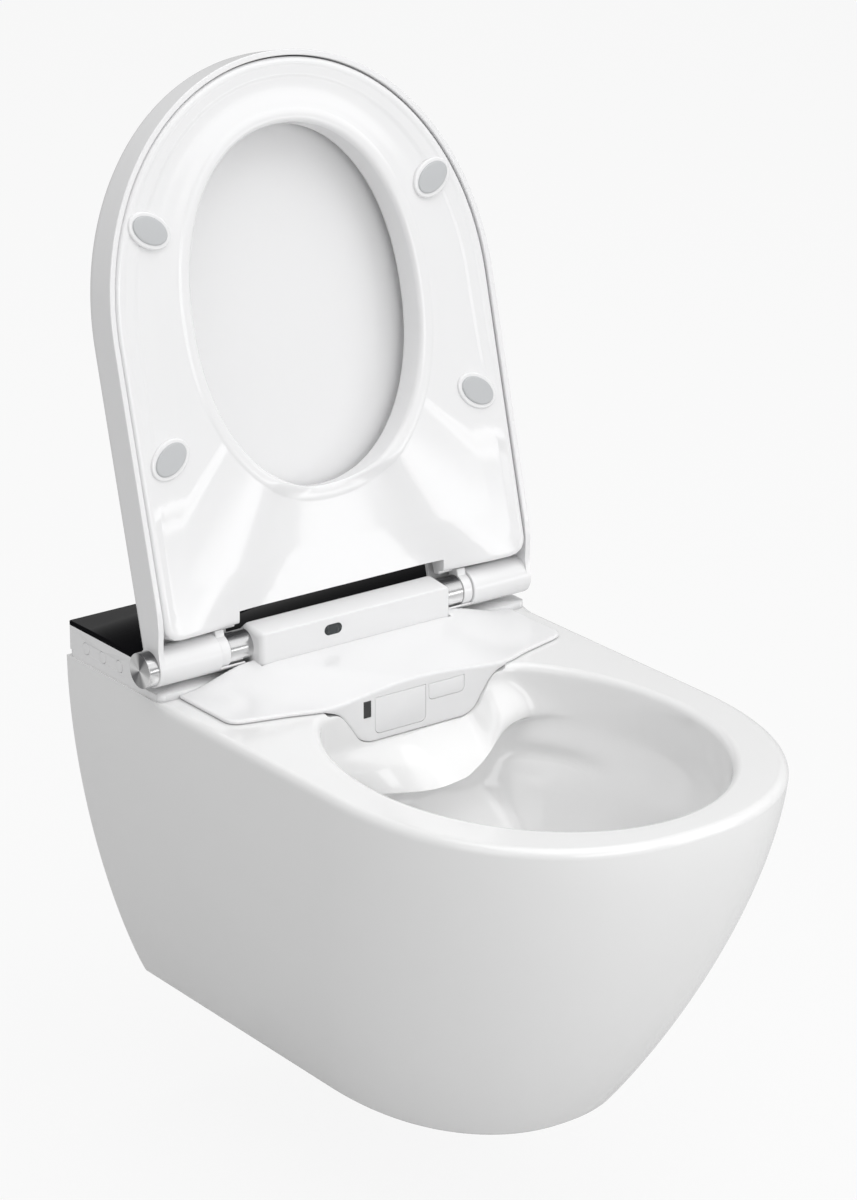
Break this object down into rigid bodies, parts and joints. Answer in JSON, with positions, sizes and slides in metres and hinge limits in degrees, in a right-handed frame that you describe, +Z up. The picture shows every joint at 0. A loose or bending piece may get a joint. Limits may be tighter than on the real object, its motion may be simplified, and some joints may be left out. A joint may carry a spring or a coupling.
{
  "type": "wall-hung smart toilet",
  "caption": "Wall-hung skirted toilet with a slim wash-and-dry unit, heated seat and wrap-over lid on one hinge line, seat and lid open.",
  "frame": {"origin": "midway between the two wall studs, on the wall plane", "axes": "+X to the user's right when facing the toilet, +Y into the wall, +Z up"},
  "size_m": [0.39, 0.5997, 0.8101],
  "materials": {
    "vitreous_china": "glazed, glossy white",
    "white_plastic": "glossy white",
    "seat_plastic": "satin white",
    "grey_plastic": "matte grey",
    "black_glass": "polished, opaque black",
    "dark_lens": "smoked, glossy",
    "chrome": "polished and turned",
    "steel": "turned",
    "brass": "machined",
    "grey_rubber": "soft, matte grey",
    "black_rubber": "matte black",
    "black_plastic": "matte black",
    "circuit_board": "green laminate",
    "heating_foil": "thin foil",
    "filter_foam": "open carbon foam"
  },
  "bodies": {
    "fixed": {"ceramic_deck": "vitreous_china", "ceramic_skirt": "vitreous_china", "ceramic_bowl": "vitreous_china", "waste_trap": "vitreous_china", "flush_duct": "vitreous_china", "wall_bosses": "vitreous_china", "flush_inlet_seal": "black_rubber", "wall_fixing_sleeves": "grey_plastic", "wall_fixing_nuts": "steel", "base_tray": "white_plastic", "housing_shell": "white_plastic", "glass_panel": "black_glass", "centre_housing": "white_plastic", "receiver_lens": "dark_lens", "front_cover": "white_plastic", "console_window": "dark_lens", "flap_pins": "steel", "wand_guide": "grey_plastic", "wand_motor": "steel", "distributor_valve": "grey_plastic", "inlet_valve": "grey_plastic", "water_inlet_fitting": "brass", "power_cable_gland": "black_plastic", "water_heater": "grey_plastic", "dryer_blower_housing": "black_plastic", "dryer_motor": "steel", "dryer_duct": "grey_plastic", "dryer_heater": "steel", "odour_filter": "filter_foam", "odour_fan_frame": "black_plastic", "control_board": "circuit_board", "power_supply": "black_plastic", "button_board": "circuit_board", "fixing_plugs": "black_rubber", "fixing_bolts": "steel", "left_hinge_axle": "steel", "right_hinge_axle": "steel", "left_hinge_sleeve": "chrome", "right_hinge_sleeve": "chrome", "seat_dampers": "black_plastic"},
    "lid": {"lid_shell": "white_plastic", "left_hinge_cap": "chrome", "right_hinge_cap": "chrome", "lid_dampers": "black_plastic", "lid_bumpers": "grey_rubber"},
    "seat": {"seat_top_shell": "seat_plastic", "seat_bottom_shell": "seat_plastic", "seat_heating_foil": "heating_foil", "seat_bumpers": "grey_rubber"},
    "wand": {"wash_wand": "white_plastic", "nozzle_tip": "grey_plastic"},
    "wand_pinion": {"wand_pinion": "black_plastic"},
    "nozzle_flap": {"nozzle_flap": "white_plastic"},
    "dryer_flap": {"dryer_flap": "white_plastic"},
    "power_button": {"power_button": "white_plastic"},
    "wash_button": {"wash_button": "white_plastic"},
    "dry_button": {"dry_button": "white_plastic"},
    "dryer_impeller": {"dryer_impeller": "black_plastic"},
    "odour_fan": {"odour_fan_impeller": "black_plastic"}
  },
  "joints": [
    {"name": "lid_hinge", "type": "hinge", "parent": "fixed", "child": "lid", "pos_m": [0, -0.129, 0.128], "axis": [1, 0, 0], "range_deg": [0, 104.2]},
    {"name": "seat_hinge", "type": "hinge", "parent": "lid", "child": "seat", "pos_m": [0, -0.129, 0.128], "axis": [-1, 0, 0], "range_deg": [-104.2, 0]},
    {"name": "wand_slide", "type": "slide", "parent": "fixed", "child": "wand", "axis": [0, -0.9848, -0.1736], "range_m": [0, 0.11]},
    {"name": "nozzle_flap_hinge", "type": "hinge", "parent": "fixed", "child": "nozzle_flap", "pos_m": [-0.0175, -0.2364, 0.1004], "axis": [-1, 0, 0], "range_deg": [0, 90.5]},
    {"name": "wand_pinion_turn", "type": "hinge", "parent": "fixed", "child": "wand_pinion", "pos_m": [-0.0033, -0.12014, 0.09878], "axis": [0, -0.1736, 0.9848], "range_deg": [0, 901]},
    {"name": "dryer_flap_hinge", "type": "hinge", "parent": "fixed", "child": "dryer_flap", "pos_m": [0.0295, -0.2364, 0.0999], "axis": [-1, 0, 0], "range_deg": [0, 60]},
    {"name": "dryer_impeller_turn", "type": "hinge", "parent": "fixed", "child": "dryer_impeller", "pos_m": [0.088, -0.16, 0.08], "axis": [0, 0, 1], "continuous": true},
    {"name": "odour_fan_turn", "type": "hinge", "parent": "fixed", "child": "odour_fan", "pos_m": [-0.101, -0.1785, 0.08], "axis": [0, 1, 0], "continuous": true},
    {"name": "power_button_press", "type": "slide", "parent": "fixed", "child": "power_button", "axis": [1, 0, 0], "range_m": [0, 0.0008], "stiffness_N_per_m": 900},
    {"name": "wash_button_press", "type": "slide", "parent": "fixed", "child": "wash_button", "axis": [1, 0, 0], "range_m": [0, 0.0008], "stiffness_N_per_m": 900},
    {"name": "dry_button_press", "type": "slide", "parent": "fixed", "child": "dry_button", "axis": [1, 0, 0], "range_m": [0, 0.0008], "stiffness_N_per_m": 900}
  ],
  "couplings": [
    {"joint": "nozzle_flap_hinge", "follows": "wand_slide", "rad_per_m": 14.2},
    {"joint": "wand_pinion_turn", "follows": "wand_slide", "rad_per_m": 142.86}
  ]
}
